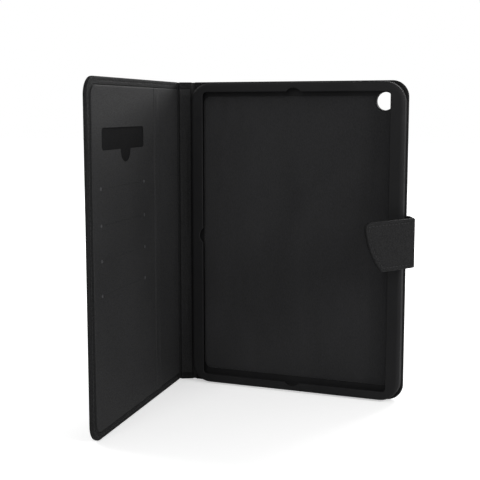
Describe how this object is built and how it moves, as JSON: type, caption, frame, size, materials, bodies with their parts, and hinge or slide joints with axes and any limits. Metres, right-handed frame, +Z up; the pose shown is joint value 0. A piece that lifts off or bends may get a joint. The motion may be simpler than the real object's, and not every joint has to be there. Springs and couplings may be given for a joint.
{
  "type": "tablet case",
  "caption": "Book-style tablet case: moulded tray on a stiff back panel, folding spine, cover with card pockets, and a side strap with a magnetic flap.",
  "frame": {"origin": "on the floor that the case stands on, below the middle of the tray, at mid-thickness of the back panel", "axes": "+X to the right along the back panel seen from the open side, +Y away from the open side, out of the back panel's outer face, +Z up"},
  "size_m": [0.2038, 0.1865, 0.252],
  "materials": {
    "grained_skin": "fine pebble grain, low sheen",
    "smooth_lining": "smooth matt synthetic leather",
    "pocket_cloth": "thin black bag cloth",
    "brushed_cloth": "short brushed nap",
    "bond_film": "adhesive film",
    "stiff_board": "grey fibre board",
    "strap_webbing": "flat woven tape",
    "strap_foam": "closed-cell foam",
    "soft_touch_moulding": "satin soft-touch",
    "tack_thread": "polished bar tack",
    "plated_magnet": "nickel plated",
    "steel_sheet": "thin tinned sheet"
  },
  "bodies": {
    "back": {"back_skin": "grained_skin", "back_board": "stiff_board", "back_lining": "smooth_lining", "strap_anchor_tab": "strap_webbing", "tray_bond_sheet": "bond_film", "tray_frame": "soft_touch_moulding", "tray_floor_pad": "brushed_cloth"},
    "spine": {"spine_skin": "grained_skin", "spine_board": "stiff_board", "spine_lining": "smooth_lining"},
    "cover": {"cover_skin": "grained_skin", "cover_board": "stiff_board", "cover_lining": "smooth_lining", "pocket_panel": "smooth_lining", "pocket_backing": "pocket_cloth", "slot_tacks": "tack_thread", "sleep_magnets": "plated_magnet", "strap_catch_plate": "steel_sheet"},
    "strap_side": {"strap_side_skin": "grained_skin", "strap_side_core": "strap_foam", "strap_side_lining": "smooth_lining"},
    "strap_flap": {"flap_skin": "grained_skin", "flap_core": "strap_foam", "flap_lining": "smooth_lining", "flap_magnets": "plated_magnet"}
  },
  "joints": [
    {"name": "spine_fold", "type": "hinge", "parent": "back", "child": "spine", "pos_m": [-0.0907, 0, 0.126], "axis": [0, 0, 1], "range_deg": [-116, 64]},
    {"name": "cover_fold", "type": "hinge", "parent": "spine", "child": "cover", "pos_m": [-0.10328, -0.00614, 0.126], "axis": [0, 0, 1], "range_deg": [-159.5, 20.5]},
    {"name": "strap_fold", "type": "hinge", "parent": "back", "child": "strap_side", "pos_m": [0.0915, 0, 0.126], "axis": [0, 0, 1], "range_deg": [-24, 156]},
    {"name": "flap_fold", "type": "hinge", "parent": "strap_side", "child": "strap_flap", "pos_m": [0.0989, -0.01663, 0.126], "axis": [0, 0, 1], "range_deg": [-36, 144]}
  ]
}
